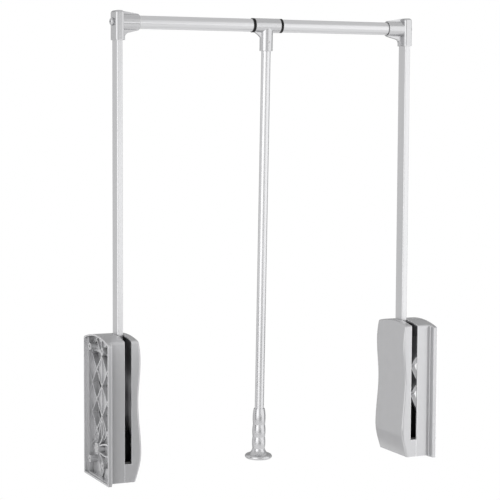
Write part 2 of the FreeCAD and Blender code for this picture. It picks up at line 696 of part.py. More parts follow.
def involute(angle):
    """The involute function of a pressure angle."""
    return math.tan(angle) - angle


def tooth(teeth, x0, x1):
    """One involute tooth on the +Y side of a gear round the X axis."""
    pitch_r = MODULE * teeth / 2
    base_r = pitch_r * math.cos(PRESSURE_ANGLE)
    tip_r = pitch_r + MODULE
    root_r = pitch_r - DEDENDUM * MODULE
    start_r = max(base_r, root_r)
    half = math.pi / (2 * teeth) - BACKLASH / (2 * pitch_r) + involute(PRESSURE_ANGLE)
    radii = [start_r + (tip_r - start_r) * step / FLANK_STEPS for step in range(FLANK_STEPS + 1)]
    flank = [(r, half - involute(math.acos(base_r / r))) for r in radii]
    upper = Part.BSplineCurve()
    upper.interpolate([polar(x0, r, a) for r, a in flank])
    lower = Part.BSplineCurve()
    lower.interpolate([polar(x0, r, -a) for r, a in flank])
    foot_r = root_r - TOOTH_ROOT_BITE
    foot_angle = flank[0][1]
    tip_angle = flank[-1][1]
    foot_high = polar(x0, foot_r, foot_angle)
    foot_low = polar(x0, foot_r, -foot_angle)
    tip = Part.Arc(polar(x0, tip_r, tip_angle), polar(x0, tip_r, 0.0), polar(x0, tip_r, -tip_angle))
    edges = [
        Part.makeLine(foot_low, foot_high),
        Part.makeLine(foot_high, polar(x0, start_r, foot_angle)),
        upper.toShape(),
        tip.toShape(),
        lower.toShape(),
        Part.makeLine(polar(x0, start_r, -foot_angle), foot_low),
    ]
    return prism(edges, Vector(x1 - x0, 0, 0))


def gear_teeth(teeth, numbers, first_angle, y, z):
    """Teeth at a gear's place, numbered round from a first angle."""
    shapes = []
    for number in numbers:
        one = tooth(teeth, GEAR_START_X, GEAR_END_X)
        one.rotate(Vector(0, 0, 0), X_AXIS, math.degrees(first_angle) + 360.0 * number / teeth)
        one.translate(Vector(0, y, z))
        shapes.append(one)
    return shapes


def gear_sector():
    """The toothed ring on the foot. Its teeth cover the swing past the damper pinion."""
    used = math.ceil(SWING_DEG * SECTOR_TEETH / 360.0)
    numbers = range(-used - SECTOR_MARGIN_TEETH, SECTOR_MARGIN_TEETH + 1)
    root_r = SECTOR_R - DEDENDUM * MODULE
    ring = tube_x(root_r, root_r - SECTOR_RIM, ARM_END_X, GEAR_END_X)
    return [ring] + gear_teeth(SECTOR_TEETH, numbers, MESH_ANGLE, 0.0, PIVOT_Z)


def arm_foot():
    """The black drum on the axle: web, spring drum, gear sector and the tongue inside the arm."""
    web = rod_x(DRUM_R, ARM_START_X, ARM_END_X)
    neck_top = PIVOT_Z + FOOT_NECK
    neck = rounded_bar(ARM_WIDTH, ARM_DEPTH, ARM_ROUND, PIVOT_Z, neck_top)
    thin = 2 * (ARM_WALL + TONGUE_GAP)
    tongue_top = neck_top + TONGUE_LENGTH
    tongue = rounded_bar(ARM_WIDTH - thin, ARM_DEPTH - thin, TONGUE_ROUND, PIVOT_Z, tongue_top)
    drum = tube_x(DRUM_R, DRUM_R - DRUM_WALL, DRUM_START_X, ARM_START_X)
    hub = rod_x(FOOT_HUB_R, FOOT_HUB_START_X, FOOT_HUB_END_X)
    body = joined([web, neck, tongue, drum, hub, spring_lug()] + gear_sector())
    body = body.cut(rod_x(BUSH_R + SEAT_GAP, FOOT_HUB_START_X, FOOT_HUB_END_X))
    for z in rivet_heights():
        hole = rod_x(RIVET_R + SEAT_GAP, ARM_START_X, ARM_END_X, 0.0, z)
        body = body.cut(hole)
    return body


def rivet_heights():
    """Heights of the rivets through arm and tongue."""
    return [PIVOT_Z + FOOT_NECK + rise for rise in RIVET_RISES]


def arm_rivets():
    """Two flush rivets through arm and tongue."""
    return Part.makeCompound([rod_x(RIVET_R, ARM_START_X, ARM_END_X, 0.0, z) for z in rivet_heights()])


def spring_end_angle():
    """Angle of the coil's far end."""
    return SPRING_START_ANGLE + SPRING_QUARTERS * math.pi / 2


def coil_point(angle):
    """A point on the coil's centre line and the direction there."""
    rise = SPRING_PITCH / (2 * math.pi)
    x = SPRING_START_X + rise * (angle - SPRING_START_ANGLE)
    point = polar(x, SPRING_MEAN_R, angle)
    side = Vector(rise, -SPRING_MEAN_R * math.sin(angle), SPRING_MEAN_R * math.cos(angle))
    return point, side.normalize()


def arc_edge(start, corner, end):
    """An arc from start to end, with the corner where its end tangents meet."""
    middle = (start + end) * 0.5
    half = (end - start).Length / 2
    rise = (corner - middle).Length
    bulge = half * math.tan(math.atan2(rise, half) / 2)
    top = middle + (corner - middle).normalize() * bulge
    return Part.Arc(start, top, end).toShape()


def biarc(start, start_way, end, end_way):
    """Two arcs that join two points along given directions."""
    chord = end - start
    ways = start_way + end_way
    turn = 2 * (1 - start_way.dot(end_way))
    along = chord.dot(ways)
    reach = (math.sqrt(along**2 + turn * chord.dot(chord)) - along) / turn
    first = start + start_way * reach
    second = end - end_way * reach
    middle = (first + second) * 0.5
    return [arc_edge(start, first, middle), arc_edge(middle, second, end)]


def spring_leg(point, way, outward):
    """The bend and straight leg at a coil's end, as edges from the coil out."""
    corner = point + way * SPRING_BEND_R
    bend_end = corner + outward * SPRING_BEND_R
    tip = bend_end + outward * SPRING_LEG
    return [arc_edge(point, corner, bend_end), Part.makeLine(bend_end, tip)]


def spring_path():
    """The spring's centre line: a leg, quarter turns of coil, and a leg."""
    first, first_way = coil_point(SPRING_START_ANGLE)
    last, last_way = coil_point(spring_end_angle())
    edges = spring_leg(first, first_way * -1, polar(0, 1, SPRING_START_ANGLE))
    for step in range(SPRING_QUARTERS):
        near = coil_point(SPRING_START_ANGLE + step * math.pi / 2)
        far = coil_point(SPRING_START_ANGLE + (step + 1) * math.pi / 2)
        edges += biarc(near[0], near[1], far[0], far[1])
    edges += spring_leg(last, last_way, polar(0, 1, spring_end_angle()))
    return Part.Wire(Part.__sortEdges__(edges))


def least_self_gap(path):
    """Least clear distance between stretches of a coil that are half a turn or more apart."""
    step = SPRING_WIRE_R
    points = path.discretize(Distance=step)
    apart = int(math.pi * SPRING_MEAN_R / step)
    gaps = []
    for i, point in enumerate(points):
        gaps += [point.distanceToPoint(other) for other in points[i + apart:]]
    return min(gaps) - 2 * SPRING_WIRE_R


def torsion_spring():
    """The coil spring that lifts the arm."""
    path = spring_path()
    print("spring least gap to itself", round(least_self_gap(path), 3))
    start = path.OrderedVertexes[0].Point
    way = path.OrderedEdges[0].tangentAt(path.OrderedEdges[0].FirstParameter)
    circle = Part.Wire(Part.makeCircle(SPRING_WIRE_R, start, way))
    spring = path.makePipeShell([circle], True, False)
    spring.translate(Vector(0, 0, PIVOT_Z))
    return spring


def damper_ear_heights():
    """Heights of the damper's two screws."""
    return (DAMPER_Z - DAMPER_EAR_PITCH / 2, DAMPER_Z + DAMPER_EAR_PITCH / 2)


def damper_body():
    """The round damper, with two ears."""
    ear_end = DAMPER_START_X + DAMPER_EAR_THICKNESS
    low, high = damper_ear_heights()
    back = DAMPER_Y + DAMPER_EAR_R
    bar = block(DAMPER_START_X, ear_end, DAMPER_Y - DAMPER_EAR_R, back, low, high)
    ears = [rod_x(DAMPER_EAR_R, DAMPER_START_X, ear_end, DAMPER_Y, z) for z in (low, high)]
    drum = rod_x(DAMPER_R, DAMPER_START_X, DAMPER_END_X, DAMPER_Y, DAMPER_Z)
    body = joined([drum, bar] + ears)
    for z in (low, high):
        body = body.cut(rod_x(DAMPER_SCREW_R + SCREW_SLACK, DAMPER_START_X, ear_end, DAMPER_Y, z))
    bore_end = GEAR_END_X + DAMPER_SHAFT_LENGTH + POCKET_SLACK
    bore_r = DAMPER_SHAFT_R + RUNNING_GAP
    return body.cut(rod_x(bore_r, DAMPER_START_X, bore_end, DAMPER_Y, DAMPER_Z))


def damper_pinion():
    """The damper's small gear and shaft, with a tooth space towards the pivot."""
    root_r = PINION_R - DEDENDUM * MODULE
    blank = rod_x(root_r, GEAR_START_X, GEAR_END_X, DAMPER_Y, DAMPER_Z)
    shaft_end = GEAR_END_X + DAMPER_SHAFT_LENGTH
    shaft = rod_x(DAMPER_SHAFT_R, GEAR_START_X, shaft_end, DAMPER_Y, DAMPER_Z)
    first = MESH_ANGLE + math.pi + math.pi / PINION_TEETH
    teeth = gear_teeth(PINION_TEETH, range(PINION_TEETH), first, DAMPER_Y, DAMPER_Z)
    return joined([blank, shaft] + teeth)


def damper_screws():
    """Two screws that hold the damper on the cover."""
    screws = []
    for z in damper_ear_heights():
        head_start = DAMPER_START_X - DAMPER_SCREW_HEAD
        head = rod_x(DAMPER_SCREW_HEAD_R, head_start, DAMPER_START_X, DAMPER_Y, z)
        end = DAMPER_START_X + DAMPER_SCREW_LENGTH
        screws.append(joined([head, rod_x(DAMPER_SCREW_R, DAMPER_START_X, end, DAMPER_Y, z)]))
    return Part.makeCompound(screws)


def upper_pad():
    """The pad behind the raised arm."""
    front = ARM_DEPTH / 2 + PAD_GAP
    bottom = PAD_TOP_Z - PAD_HEIGHT
    return block(ARM_START_X, ARM_END_X, front, SLOT_BACK_Y, bottom, PAD_TOP_Z)


def lower_pad():
    """The pad under the lowered arm, behind the front wall."""
    front = -INSIDE_DEPTH / 2
    back = front + LEDGE_DEPTH
    bottom = LOWER_PAD_TOP_Z - LOWER_PAD_HEIGHT
    return block(ARM_START_X, ARM_END_X, front, back, bottom, LOWER_PAD_TOP_Z)


def arm_tube():
    """The flat arm tube, with holes for the rivets and the corner screw."""
    bottom = PIVOT_Z + FOOT_NECK
    top = RAIL_Z + SLEEVE_ABOVE - SLEEVE_ROOF
    outer = rounded_bar(ARM_WIDTH, ARM_DEPTH, ARM_ROUND, bottom, top)
    thin = 2 * ARM_WALL
    inner = rounded_bar(ARM_WIDTH - thin, ARM_DEPTH - thin, ARM_ROUND - ARM_WALL, bottom, top)
    tube = outer.cut(inner)
    for z in rivet_heights():
        hole = rod_x(RIVET_R + SEAT_GAP, ARM_START_X, ARM_END_X, 0.0, z)
        tube = tube.cut(hole)
    screw_r = CORNER_SCREW_R + SCREW_SLACK
    return tube.cut(rod_x(screw_r, ARM_START_X, ARM_END_X, 0.0, RAIL_Z))


def web(edges, thickness):
    """A flat web at mid depth from an outline drawn on its front."""
    return prism(edges, Vector(0, thickness, 0))


def front_lines(points, thickness):
    """Straight edges from point to point on the front of a web, from X and Z."""
    places = [Vector(x, -thickness / 2, z) for x, z in points]
    return [Part.makeLine(a, b) for a, b in zip(places, places[1:])]


def crest_web():
    """The web on top of the corner, from the sleeve straight down to the socket's mouth."""
    root_x = SLEEVE_END_X - SLEEVE_TOP_ROUND
    mouth_x = SOCKET_END_X - SOCKET_EDGE
    root = (root_x, RAIL_Z)
    edges = front_lines([
        root,
        (root_x, RAIL_Z + SLEEVE_ABOVE),
        (mouth_x, RAIL_Z + SOCKET_R),
        (mouth_x, RAIL_Z),
        root,
    ], WEB_THICKNESS)
    return web(edges, WEB_THICKNESS)


def gusset_web():
    """The web under the socket, with a hollow edge that runs down beside the sleeve."""
    front = -WEB_THICKNESS / 2
    foot_x = SLEEVE_END_X + GUSSET_FOOT
    root_x = ARM_END_X + SLEEVE_GAP
    bottom = RAIL_Z - SLEEVE_BELOW
    mouth = Vector(SOCKET_END_X - SOCKET_EDGE, front, RAIL_Z - SOCKET_R)
    corner = Vector(foot_x, front, RAIL_Z - SOCKET_R - GUSSET_DROP)
    bend_start = corner + (mouth - corner).normalize() * GUSSET_BEND
    bend_end = corner - Z_AXIS * GUSSET_BEND
    edges = [Part.makeLine(mouth, bend_start), arc_edge(bend_start, corner, bend_end)]
    edges += front_lines([
        (foot_x, bend_end.z),
        (foot_x, bottom),
        (root_x, bottom),
        (root_x, RAIL_Z),
        (mouth.x, RAIL_Z),
        (mouth.x, mouth.z),
    ], WEB_THICKNESS)
    return web(edges, WEB_THICKNESS)


def corner_sleeve():
    """The upright sleeve, with its two top corners rounded and its outline softened."""
    bottom = RAIL_Z - SLEEVE_BELOW
    top = RAIL_Z + SLEEVE_ABOVE
    half = SLEEVE_DEPTH / 2
    body = block(SLEEVE_START_X, SLEEVE_END_X, -half, half, bottom, top)
    sides = [e for e in body.Edges if e.BoundBox.ZMin > top - TOUCH and e.BoundBox.XLength < TOUCH]
    body = body.makeFillet(SLEEVE_TOP_ROUND, sides)
    outline = [e for e in body.Edges if e.BoundBox.YLength < TOUCH and e.BoundBox.ZMax > bottom + TOUCH]
    return body.makeFillet(SLEEVE_ROUND, outline)


def corner_connector():
    """The moulded corner: sleeve for the arm, socket for the rail, and webs between them."""
    socket = rod_x(SOCKET_R, ARM_END_X, SOCKET_END_X, 0.0, RAIL_Z)
    socket = socket.makeFillet(SOCKET_EDGE, end_edges(socket, SOCKET_END_X, lambda p: p.x))
    body = joined([corner_sleeve(), socket, crest_web(), gusset_web()])
    wide = 2 * SLEEVE_GAP
    pocket_top = RAIL_Z + SLEEVE_ABOVE - SLEEVE_ROOF
    bottom = RAIL_Z - SLEEVE_BELOW
    pocket_round = ARM_ROUND + SLEEVE_GAP
    pocket = rounded_bar(ARM_WIDTH + wide, ARM_DEPTH + wide, pocket_round, bottom, pocket_top)
    bore = rod_x(RAIL_R + SLEEVE_GAP, RAIL_START_X, SOCKET_END_X, 0.0, RAIL_Z)
    screw_r = CORNER_SCREW_R + SCREW_SLACK
    hole = rod_x(screw_r, SLEEVE_START_X, RAIL_START_X, 0.0, RAIL_Z)
    recess_r = CORNER_SCREW_HEAD_R + HEAD_RECESS_SLACK
    recess = rod_x(recess_r, SLEEVE_START_X, HEAD_SEAT_X, 0.0, RAIL_Z)
    mouth_start = SOCKET_END_X - SOCKET_MOUTH_DEPTH
    mouth = rod_x(RAIL_R + SOCKET_MOUTH_GAP, mouth_start, SOCKET_END_X, 0.0, RAIL_Z)
    return body.cut(pocket).cut(bore).cut(hole).cut(recess).cut(mouth)


def corner_screw():
    """The pan-head screw through the arm into the rail's end plug, with a cross recess."""
    head_start = HEAD_SEAT_X - CORNER_SCREW_HEAD
    head = rod_x(CORNER_SCREW_HEAD_R, head_start, HEAD_SEAT_X, 0.0, RAIL_Z)
    head = head.makeFillet(CORNER_SCREW_HEAD / 2, end_edges(head, head_start, lambda p: p.x))
    end = RAIL_START_X + CORNER_SCREW_BITE
    body = joined([head, rod_x(CORNER_SCREW_R, HEAD_SEAT_X, end, 0.0, RAIL_Z)])
    half = CROSS_WIDTH / 2
    deep = head_start + CORNER_SCREW_HEAD / 2
    up = block(head_start, deep, -half, half, RAIL_Z - CROSS_REACH, RAIL_Z + CROSS_REACH)
    across = block(head_start, deep, -CROSS_REACH, CROSS_REACH, RAIL_Z - half, RAIL_Z + half)
    return body.cut(up).cut(across)


def end_plug():
    """The plug in the rail's end that takes the corner screw."""
    end = RAIL_START_X + PLUG_LENGTH
    outer = RAIL_R - RAIL_WALL - SEAT_GAP
    return tube_x(outer, CORNER_SCREW_R + SEAT_GAP, RAIL_START_X, end, 0.0, RAIL_Z)


def rail_tube():
    """The outer rail tube of one side."""
    return tube_x(RAIL_R, RAIL_R - RAIL_WALL, RAIL_START_X, RAIL_END_X, 0.0, RAIL_Z)


def rail_ring():
    """The black guide ring at the rail tube's inner end."""
    bore = INNER_RAIL_R + RING_BORE_GAP
    flange = tube_x(RING_R, bore, RAIL_END_X, RAIL_END_X + RING_WIDTH, 0.0, RAIL_Z)
    spigot_r = RAIL_R - RAIL_WALL - SEAT_GAP
    spigot = tube_x(spigot_r, bore, RAIL_END_X - RING_SPIGOT, RAIL_END_X, 0.0, RAIL_Z)
    return joined([flange, spigot])


def snap_ring_starts():
    """Where the two snap rings begin, inside the tee's recesses."""
    inset = TEE_RECESS - SNAP_RING_GAP - SNAP_RING_THICKNESS
    far = MIDDLE_X + TEE_LENGTH / 2 - inset - SNAP_RING_THICKNESS
    return (TEE_START_X + inset, far)


def inner_rail():
    """The inner rail tube, with grooves for the snap rings."""
    start = MIDDLE_X - INNER_RAIL_HALF
    end = MIDDLE_X + INNER_RAIL_HALF
    tube = tube_x(INNER_RAIL_R, INNER_RAIL_R - INNER_RAIL_WALL, start, end, 0.0, RAIL_Z)
    for x in snap_ring_starts():
        groove_end = x + SNAP_RING_THICKNESS
        floor_r = INNER_RAIL_R - SNAP_RING_GROOVE
        tube = tube.cut(tube_x(SNAP_RING_R, floor_r, x, groove_end, 0.0, RAIL_Z))
    return tube


def snap_rings():
    """Two rings that keep the tee in the middle of the inner rail."""
    inner = INNER_RAIL_R - SNAP_RING_GROOVE + SEAT_GAP
    rings = []
    for x in snap_ring_starts():
        start = x + SEAT_GAP
        end = x + SNAP_RING_THICKNESS - SEAT_GAP
        rings.append(tube_x(SNAP_RING_R, inner, start, end, 0.0, RAIL_Z))
    return Part.makeCompound(rings)


def tee_web():
    """The web on the left of the tee's neck, with a slightly hollow edge."""
    front = -NECK_WEB / 2
    high = Vector(TEE_START_X + TEE_EDGE, front, RAIL_Z - TEE_R + TEE_EDGE)
    low = Vector(MIDDLE_X - NECK_R + NECK_EDGE, front, RAIL_Z - TEE_R - NECK_WEB_DROP)
    inside = Vector(low.x, front, high.z)
    hollow = (high + low) * 0.5 + (inside - (high + low) * 0.5).normalize() * NECK_WEB_SAG
    edges = [
        Part.Arc(high, hollow, low).toShape(),
        Part.makeLine(low, inside),
        Part.makeLine(inside, high),
    ]
    return web(edges, NECK_WEB)


def tee():
    """The tee that turns on the inner rail and carries the pull rod."""
    end = TEE_START_X + TEE_LENGTH
    bar = rod_x(TEE_R, TEE_START_X, end, 0.0, RAIL_Z)
    bar = bar.makeFillet(TEE_EDGE, [e for e in bar.Edges if e.Curve.TypeId == "Part::GeomCircle"])
    neck_bottom = RAIL_Z - NECK_LENGTH
    neck = rod_z(NECK_R, neck_bottom, RAIL_Z)
    neck = neck.makeFillet(NECK_EDGE, end_edges(neck, neck_bottom, lambda p: p.z))
    body = joined([bar, neck, tee_web()])
    body = body.cut(rod_x(INNER_RAIL_R + TEE_BORE_GAP, TEE_START_X, end, 0.0, RAIL_Z))
    body = body.cut(rod_x(TEE_RECESS_R, TEE_START_X, TEE_START_X + TEE_RECESS, 0.0, RAIL_Z))
    body = body.cut(rod_x(TEE_RECESS_R, end - TEE_RECESS, end, 0.0, RAIL_Z))
    body = body.cut(rod_z(ROD_R + ROD_SEAT_GAP, neck_bottom, rod_top()))
    hole_r = SET_SCREW_R + SEAT_GAP
    hole = Part.makeCylinder(hole_r, NECK_R, set_screw_start(-NECK_R), Y_AXIS)
    return body.cut(hole)


def set_screw_start(y):
    """A point on the set screw's axis."""
    return Vector(MIDDLE_X, y, RAIL_Z - NECK_LENGTH + SET_SCREW_RISE)


def tee_set_screw():
    """The grub screw that clamps the pull rod, with a key recess."""
    start = -NECK_R + SET_SCREW_SUNK
    length = NECK_R - SET_SCREW_SUNK - ROD_R
    body = Part.makeCylinder(SET_SCREW_R, length, set_screw_start(start), Y_AXIS)
    rod = rod_z(ROD_R, RAIL_Z - NECK_LENGTH, RAIL_Z)
    key = Part.makeCylinder(SET_SCREW_KEY_R, length / 2, set_screw_start(start), Y_AXIS)
    return body.cut(rod).cut(key)


def rod_bottom():
    """Height of the pull rod's lower end."""
    return rod_top() - ROD_LENGTH


def rod_top():
    """Height of the pull rod's upper end, inside the tee's neck."""
    return RAIL_Z - NECK_LENGTH + NECK_ROD_DEPTH


def pull_rod():
    """The long tube between tee and grip."""
    return rod_z(ROD_R, rod_bottom(), rod_top()).cut(rod_z(ROD_R - ROD_WALL, rod_bottom(), rod_top()))


def rod_plug():
    """The plug in the rod's lower end that takes the grip screw."""
    bottom = rod_bottom()
    top = bottom + ROD_PLUG_LENGTH
    outer = rod_z(ROD_R - ROD_WALL - SEAT_GAP, bottom, top)
    return outer.cut(rod_z(GRIP_SCREW_R + SEAT_GAP, bottom, top))


def turned(edges):
    """A solid turned round the pull rod's axis from a half outline."""
    return Part.Face(Part.Wire(Part.__sortEdges__(edges))).revolve(Vector(MIDDLE_X, 0, 0), Z_AXIS, 360)


def grip_height(drop):
    """Height of a level in the grip, measured down from its top."""
    return RAIL_Z - GRIP_TOP_DROP - drop


def grip_point(radius, drop):
    """A point of the grip's half outline."""
    return Vector(MIDDLE_X + radius, 0, grip_height(drop))


def grip_stretches(shape, drop):
    """Points of the grip's half outline at the end of each stretch below a level."""
    points = []
    for rise, stretch in shape:
        drop += stretch
        points.append(grip_point(ROD_R + rise, drop))
    return points


def grip_lobes():
    """Outline arcs of the lobes, which meet in a crease."""
    arcs = []
    drop = 0.0
    start = grip_point(ROD_R + GRIP_TOP_RISE, 0)
    for middle_rise, end_rise, length in GRIP_LOBES:
        middle = grip_point(ROD_R + middle_rise, drop + length / 2)
        drop += length
        end = grip_point(ROD_R + end_rise, drop)
        arcs.append(Part.Arc(start, middle, end).toShape())
        start = end
    return arcs, start


def grip_blank():
    """The outside of the grip: three lobes and a flared foot with a round rim."""
    lobes, waist = grip_lobes()
    flare = [waist] + grip_stretches(GRIP_FLARE, GRIP_WAIST_DROP)
    rim_drop = GRIP_LENGTH - sum(stretch for rise, stretch in GRIP_RIM)
    side, foot = grip_stretches(GRIP_RIM, rim_drop)
    curve = Part.BSplineCurve()
    curve.interpolate(flare)
    top_axis = grip_point(0, 0)
    bottom_axis = grip_point(0, GRIP_LENGTH)
    edges = lobes + [
        curve.toShape(),
        Part.Arc(flare[-1], side, foot).toShape(),
        Part.makeLine(foot, bottom_axis),
        Part.makeLine(bottom_axis, top_axis),
        Part.makeLine(top_axis, grip_point(ROD_R + GRIP_TOP_RISE, 0)),
    ]
    return turned(edges)


def grip():
    """The grip, hollow above and below a wall that holds its screw."""
    body = grip_blank()
    wall_top = grip_height(GRIP_ROD_DEPTH)
    wall_bottom = wall_top - GRIP_WALL
    waist = grip_height(GRIP_WAIST_DROP)
    bottom = grip_height(GRIP_LENGTH)
    body = body.cut(rod_z(ROD_R + ROD_SEAT_GAP, wall_top, grip_height(0)))
    body = body.cut(rod_z(GRIP_SCREW_R + SCREW_SLACK, wall_bottom, wall_top))
    body = body.cut(rod_z(GRIP_HOLLOW_R, waist, wall_bottom))
    start = Vector(MIDDLE_X, 0, bottom)
    return body.cut(Part.makeCone(GRIP_HOLLOW_MOUTH_R, GRIP_HOLLOW_R, waist - bottom, start, Z_AXIS))


def grip_cap():
    """The domed cap under the grip, with a rim that fits inside it."""
    bottom = grip_height(GRIP_LENGTH)
    dome_r = (CAP_R**2 + CAP_DOME**2) / (2 * CAP_DOME)
    ball = Part.makeSphere(dome_r, Vector(MIDDLE_X, 0, bottom - CAP_DOME + dome_r))
    dome = ball.common(rod_z(CAP_R, bottom - CAP_DOME, bottom))
    slope = (GRIP_HOLLOW_MOUTH_R - GRIP_HOLLOW_R) / (GRIP_LENGTH - GRIP_WAIST_DROP)
    rim_r = GRIP_HOLLOW_MOUTH_R - CAP_GAP
    rim_top_r = rim_r - slope * CAP_RIM
    rim = Part.makeCone(rim_r, rim_top_r, CAP_RIM, Vector(MIDDLE_X, 0, bottom), Z_AXIS)
    rim = rim.cut(rod_z(rim_top_r - CAP_RIM_WALL, bottom, bottom + CAP_RIM))
    return joined([dome, rim])


def grip_screw():
    """The screw from the grip's hollow into the rod's plug."""
    seat = grip_height(GRIP_ROD_DEPTH) - GRIP_WALL
    head = rod_z(GRIP_SCREW_HEAD_R, seat - GRIP_SCREW_HEAD, seat)
    return joined([head, rod_z(GRIP_SCREW_R, seat, seat + GRIP_SCREW_LENGTH)])


SIDE_PARTS = {
    "wall_base": wall_base,
    "cover": cover,
    "axle": axle,
    "axle_clip": axle_clip,
    "cover_bush": cover_bush,
    "arm_foot": arm_foot,
    "foot_bush": foot_bush,
    "torsion_spring": torsion_spring,
    "damper_body": damper_body,
    "damper_pinion": damper_pinion,
    "damper_screws": damper_screws,
    "upper_pad": upper_pad,
    "lower_pad": lower_pad,
    "arm_tube": arm_tube,
    "arm_rivets": arm_rivets,
    "corner_connector": corner_connector,
    "corner_screw": corner_screw,
    "end_plug": end_plug,
    "rail_tube": rail_tube,
    "rail_ring": rail_ring,
}
MIDDLE_PARTS = {"inner_rail": inner_rail, "snap_rings": snap_rings}
HANDLE_PARTS = {
    "tee": tee,
    "tee_set_screw": tee_set_screw,
    "pull_rod": pull_rod,
    "rod_plug": rod_plug,
    "grip": grip,
    "grip_cap": grip_cap,
    "grip_screw": grip_screw,
}

os.makedirs("parts", exist_ok=True)

for name, make in SIDE_PARTS.items():
    left = make()
    left.exportStep(f"parts/left_{name}.step")
    right = left.mirror(Vector(MIDDLE_X, 0, 0), X_AXIS)
    right.exportStep(f"parts/right_{name}.step")

for name, make in MIDDLE_PARTS.items():
    make().exportStep(f"parts/{name}.step")

for name, make in HANDLE_PARTS.items():
    shape = make()
    shape.rotate(Vector(0, 0, RAIL_Z), X_AXIS, HANDLE_LEAN_DEG)
    shape.exportStep(f"parts/{name}.step")
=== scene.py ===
import json
import math

import bpy
from mathutils import Matrix, Vector


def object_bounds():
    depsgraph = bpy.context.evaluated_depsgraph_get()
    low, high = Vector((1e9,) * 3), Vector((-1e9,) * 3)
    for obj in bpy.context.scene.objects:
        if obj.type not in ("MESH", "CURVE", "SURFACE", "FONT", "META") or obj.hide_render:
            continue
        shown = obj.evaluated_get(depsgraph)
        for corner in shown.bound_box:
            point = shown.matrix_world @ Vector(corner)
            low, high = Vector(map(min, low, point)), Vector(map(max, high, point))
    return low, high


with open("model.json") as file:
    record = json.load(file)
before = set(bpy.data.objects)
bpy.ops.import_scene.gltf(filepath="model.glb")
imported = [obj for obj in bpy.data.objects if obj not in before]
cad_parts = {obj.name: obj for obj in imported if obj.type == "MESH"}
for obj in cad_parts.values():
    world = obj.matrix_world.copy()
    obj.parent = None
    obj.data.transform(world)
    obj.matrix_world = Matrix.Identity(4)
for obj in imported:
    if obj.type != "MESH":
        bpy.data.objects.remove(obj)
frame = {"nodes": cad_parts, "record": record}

cad_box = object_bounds()

# Camera at the photograph's viewing angle: place in metres, angles in degrees, lens in millimetres
CAMERA_PLACE = (-0.901, -2.6565, 0.500)
CAMERA_YAW = 23.99
CAMERA_PITCH = -4.853
CAMERA_ROLL = 0.293
CAMERA_SENSOR = 36.0
CAMERA_LENS = 121.46

# Floor: its drop below the object and its reach to each side, in metres
FLOOR_DROP = 1.2
FLOOR_REACH = 12.0
FLOOR_GREY = 0.9
FLOOR_ROUGHNESS = 0.9
MIDDLE = (cad_box[0] + cad_box[1]) / 2
FLOOR_MIDDLE = Vector((MIDDLE.x, MIDDLE.y, cad_box[0].z - FLOOR_DROP))

# Share of plain white in the floor's look below the object. It grows to 1 between two distances, in metres
FLOOR_GLOW = 0.7
FLOOR_FADE = (0.6, 1.5)

# Even light of the world, and soft lamps with places and sizes in metres and powers in watts
AMBIENT = 0.30
LAMPS = {
    "right": {"place": (1.3, -0.95, 0.2), "size": 0.9, "power": 11.0},
    "left": {"place": (-1.5, -1.2, 0.4), "size": 1.6, "power": 34.0},
    "top": {"place": (0.3, -0.3, 2.7), "size": 2.2, "power": 18.0},
    "back": {"place": (0.3, 2.2, 0.8), "size": 1.6, "power": 14.0},
}

# Cards round the object, seen only in reflections. A card runs from one angle to another about +Z, counted
# in degrees from the front towards the right, and from a lower rim to an upper one, and has a level of
# brightness. A rim is a distance from the object's middle and a height above the floor, in metres. A card
# bends in flat strips, each about one step of degrees wide
CARD_DISTANCE = 4.0
CARD_STEP = 4.0
SKIRT_DISTANCE = 1.0
FLOOR_GAP = 0.01
RIM_NEAR = (SKIRT_DISTANCE, FLOOR_GAP)
RIM_FLOOR = (CARD_DISTANCE, FLOOR_GAP)
RIM_LOW = (CARD_DISTANCE, 0.4)
RIM_FOOT = (CARD_DISTANCE, 0.55)
RIM_SPLIT = (CARD_DISTANCE, 0.9)
RIM_RISE = (CARD_DISTANCE, 1.85)
RIM_TOP = (CARD_DISTANCE, 4.5)
CARDS = {
    "front_foot": (-27.0, 9.0, RIM_FLOOR, RIM_FOOT, 0.3),
    "front_card": (-27.0, 9.0, RIM_FOOT, RIM_RISE, 0.85),
    "front_low": (9.0, 21.0, RIM_FLOOR, RIM_SPLIT, 0.35),
    "front_high": (9.0, 21.0, RIM_SPLIT, RIM_RISE, 1.6),
    "right_screen": (21.0, 82.0, RIM_FLOOR, RIM_RISE, 1.3),
    "upper_left": (-27.0, 20.0, RIM_RISE, RIM_TOP, 0.7),
    "upper_right": (20.0, 82.0, RIM_RISE, RIM_TOP, 1.3),
    "right_card": (82.0, 116.0, RIM_FLOOR, RIM_TOP, 0.7),
    "rear_card": (116.0, 196.0, RIM_FLOOR, RIM_TOP, 0.4),
    "left_card": (196.0, 224.0, RIM_FLOOR, RIM_TOP, 0.75),
    "left_skirt": (192.0, 236.0, RIM_NEAR, RIM_FLOOR, 0.6),
    "left_screen": (224.0, 283.0, RIM_FLOOR, RIM_TOP, 0.85),
    "left_foot": (283.0, 325.0, RIM_FLOOR, RIM_LOW, 0.75),
    "left_softbox": (283.0, 325.0, RIM_LOW, RIM_TOP, 1.8),
    "left_front": (325.0, 333.0, RIM_FLOOR, RIM_TOP, 1.1),
}
LID_LEVEL = 0.75

# Scale of the detail in the finishes, as repeats in a metre
GRAIN = 600.0
MOTTLE = 45.0
CLOUD = 260.0
DRAWN_ACROSS = 500.0
DRAWN_ALONG = 7.0

# Steps of finer noise within that detail
GRAIN_STEPS = 1.0
MOTTLE_STEPS = 4.0
CLOUD_STEPS = 3.0
DRAWN_STEPS = 2.0

# Depth of the relief in metres, and the strength with which it shows
GRAIN_DEPTH = 0.00004
DRAWN_DEPTH = 0.00002
RELIEF_STRENGTH = 0.1

